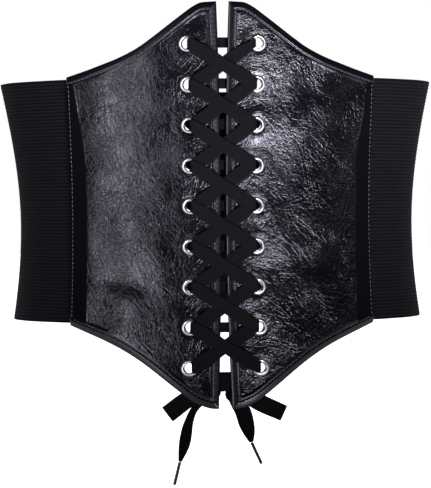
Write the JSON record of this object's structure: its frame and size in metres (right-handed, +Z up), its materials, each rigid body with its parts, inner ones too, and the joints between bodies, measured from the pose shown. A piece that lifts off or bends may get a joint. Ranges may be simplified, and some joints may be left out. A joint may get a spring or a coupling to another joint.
{
  "type": "corset belt",
  "caption": "Waist corset belt as worn: glossy leather front panels with peaked edges, laced criss-cross through metal eyelets and joined round the back by a wide ribbed elastic band.",
  "frame": {"origin": "middle of the waist, at the height midway up the side edges of the leather panels", "axes": "+Z up, -Y out of the laced front, +X to the viewer's right as seen from the front"},
  "size_m": [0.2662, 0.1994, 0.2803],
  "materials": {
    "leather": "glossy black imitation leather with fine creases",
    "elastic": "matt black elastic with fine horizontal ribs",
    "eyelet_metal": "polished nickel plate",
    "lace_tape": "matt black flat woven tape with lengthwise ribs",
    "aglet_plastic": "glossy black plastic"
  },
  "bodies": {
    "root": {"panel_left": "leather", "panel_right": "leather", "elastic_band": "elastic", "eyelet_left_1": "eyelet_metal", "eyelet_left_2": "eyelet_metal", "eyelet_left_3": "eyelet_metal", "eyelet_left_4": "eyelet_metal", "eyelet_left_5": "eyelet_metal", "eyelet_left_6": "eyelet_metal", "eyelet_left_7": "eyelet_metal", "eyelet_left_8": "eyelet_metal", "eyelet_left_9": "eyelet_metal", "eyelet_right_1": "eyelet_metal", "eyelet_right_2": "eyelet_metal", "eyelet_right_3": "eyelet_metal", "eyelet_right_4": "eyelet_metal", "eyelet_right_5": "eyelet_metal", "eyelet_right_6": "eyelet_metal", "eyelet_right_7": "eyelet_metal", "eyelet_right_8": "eyelet_metal", "eyelet_right_9": "eyelet_metal", "lace": "lace_tape", "lace_run_left": "lace_tape", "lace_run_right": "lace_tape", "lace_knot": "lace_tape", "bow_loop_left": "lace_tape", "bow_loop_right": "lace_tape", "lace_end_left": "lace_tape", "lace_end_right": "lace_tape", "aglet_left": "aglet_plastic", "aglet_right": "aglet_plastic"}
  },
  "joints": []
}
